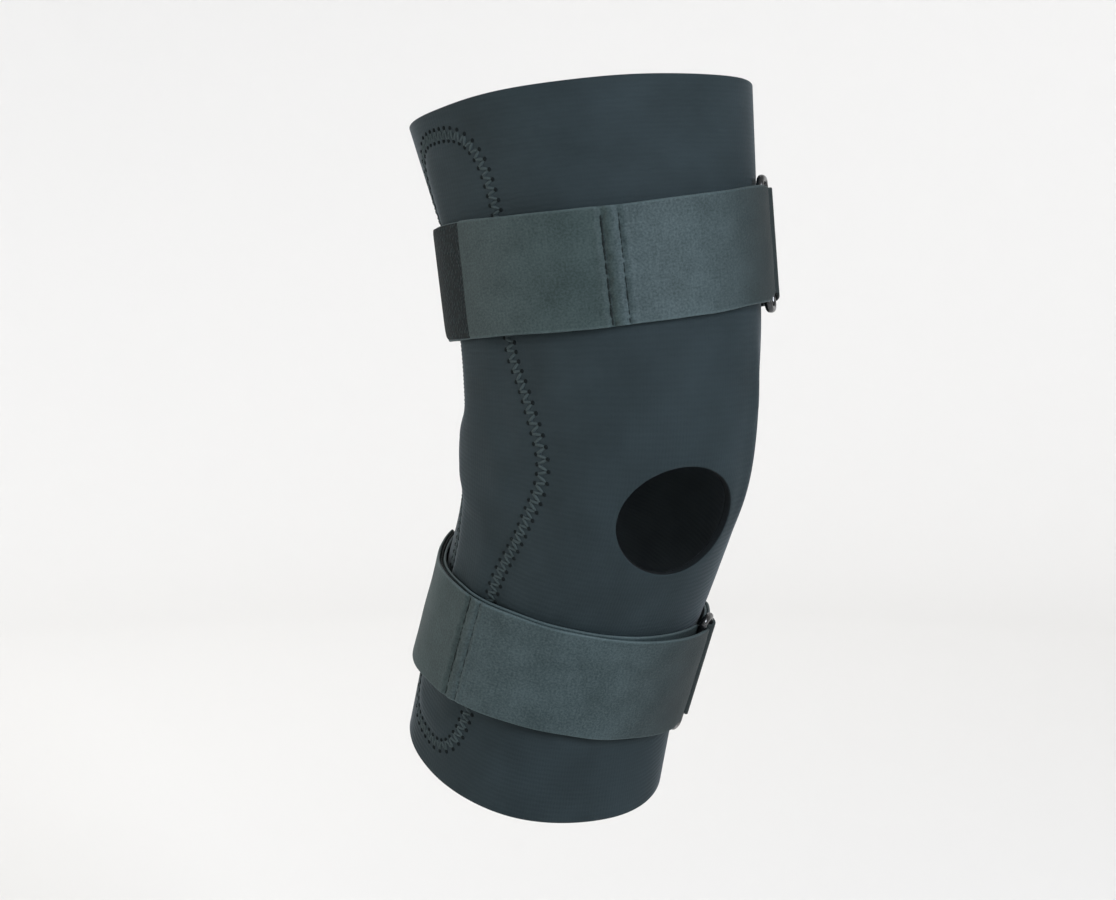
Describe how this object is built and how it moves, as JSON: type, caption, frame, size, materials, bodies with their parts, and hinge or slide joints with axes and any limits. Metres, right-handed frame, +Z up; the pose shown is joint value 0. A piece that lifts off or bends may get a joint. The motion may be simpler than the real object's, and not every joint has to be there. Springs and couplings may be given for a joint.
{
  "type": "hinged knee brace",
  "caption": "Knee sleeve with an open patella, hinge stays sewn into side pockets, and straps that pass through rings and fasten back over themselves.",
  "frame": {"origin": "on the knee's axis, midway between the two hinge heads, where the brace sits on the leg", "axes": "+Z up the leg, -Y to the front of the knee, -X to the lateral side of this right-leg brace"},
  "size_m": [0.1486, 0.1871, 0.3354],
  "materials": {
    "neoprene": "charcoal neoprene foam faced with fine nylon jersey, matte",
    "pocket_cloth": "charcoal jersey-faced neoprene panel, matte",
    "loop_webbing": "grey-green brushed loop fabric, very matte",
    "hook_tape": "black hook tape, grainy",
    "ring_plastic": "gloss black moulded loop",
    "hinge_metal": "plain flat stay, hidden in its pocket"
  },
  "bodies": {
    "root": {"sleeve": "neoprene", "pocket_lateral": "pocket_cloth", "pocket_medial": "pocket_cloth", "hinge_lateral": "hinge_metal", "hinge_medial": "hinge_metal", "strap_upper": "loop_webbing", "strap_lower": "loop_webbing", "hook_tab_upper": "hook_tape", "hook_tab_lower": "hook_tape", "ring_upper": "ring_plastic", "ring_lower": "ring_plastic"}
  },
  "joints": []
}
